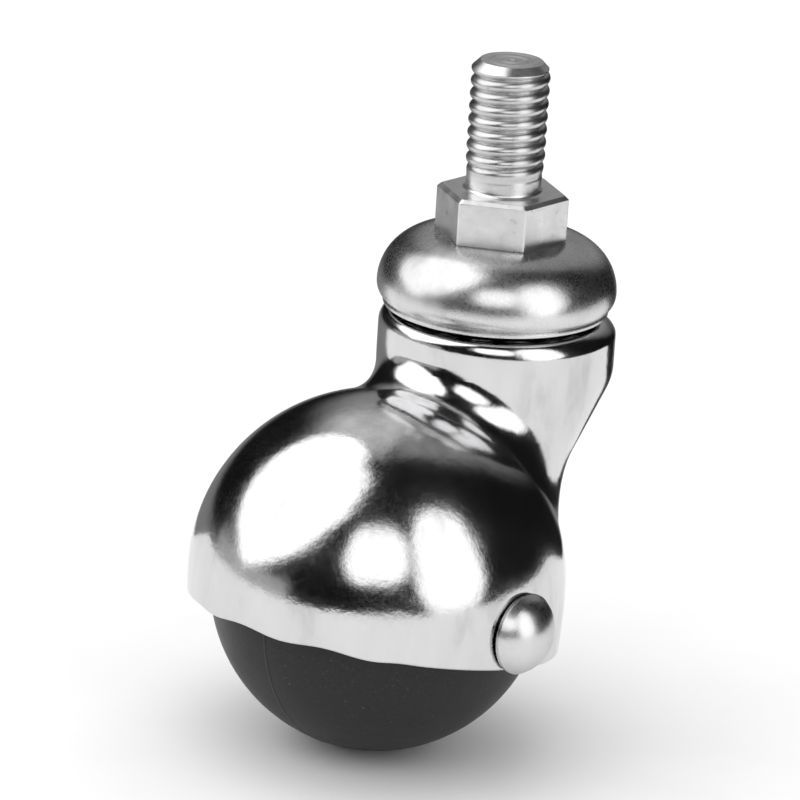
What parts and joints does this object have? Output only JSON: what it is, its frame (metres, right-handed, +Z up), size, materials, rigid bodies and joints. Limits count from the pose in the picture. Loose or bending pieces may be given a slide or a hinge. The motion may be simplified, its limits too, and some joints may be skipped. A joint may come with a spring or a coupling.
{
  "type": "ball castor",
  "caption": "Swivel ball castor with a rubber ball under a bright drawn hood, on a threaded stem with a spanner hexagon.",
  "frame": {"origin": "on the swivel axis, at the top face of the hexagon, where the stem's seat meets the furniture", "axes": "+Z up along the stem and the swivel axis, the ball trails toward -Y, the axle lies along X"},
  "size_m": [0.052, 0.0562, 0.0821],
  "materials": {
    "chrome_plate": "bright nickel-chrome plate",
    "zinc_plate": "bright zinc plate",
    "bare_steel": "plain turned steel",
    "ball_rubber": "satin moulded rubber",
    "bush_nylon": "moulded nylon"
  },
  "bodies": {
    "stem": {"threaded_stem": "zinc_plate", "swivel_cap": "chrome_plate", "retaining_washer": "bare_steel"},
    "bearing": {"bearing_ball_01": "bare_steel", "bearing_ball_02": "bare_steel", "bearing_ball_03": "bare_steel", "bearing_ball_04": "bare_steel", "bearing_ball_05": "bare_steel", "bearing_ball_06": "bare_steel", "bearing_ball_07": "bare_steel", "bearing_ball_08": "bare_steel", "bearing_ball_09": "bare_steel", "bearing_ball_10": "bare_steel", "bearing_ball_11": "bare_steel", "bearing_ball_12": "bare_steel"},
    "hood": {"hood": "chrome_plate", "axle_pin": "bare_steel", "axle_cap_right": "chrome_plate", "axle_cap_left": "chrome_plate", "side_washer_right": "bare_steel", "side_washer_left": "bare_steel"},
    "wheel": {"ball_wheel": "ball_rubber", "hub_sleeve": "bush_nylon"}
  },
  "joints": [
    {"name": "swivel", "type": "hinge", "parent": "stem", "child": "hood", "pos_m": [0, 0, -0.0121], "axis": [0, 0, 1], "continuous": true},
    {"name": "bearing_roll", "type": "hinge", "parent": "stem", "child": "bearing", "pos_m": [0, 0, -0.0101], "axis": [0, 0, 1], "continuous": true},
    {"name": "ball_roll", "type": "hinge", "parent": "hood", "child": "wheel", "pos_m": [0, -0.0187, -0.04592], "axis": [1, 0, 0], "continuous": true}
  ],
  "couplings": [
    {"joint": "bearing_roll", "follows": "swivel", "ratio": 0.5}
  ]
}
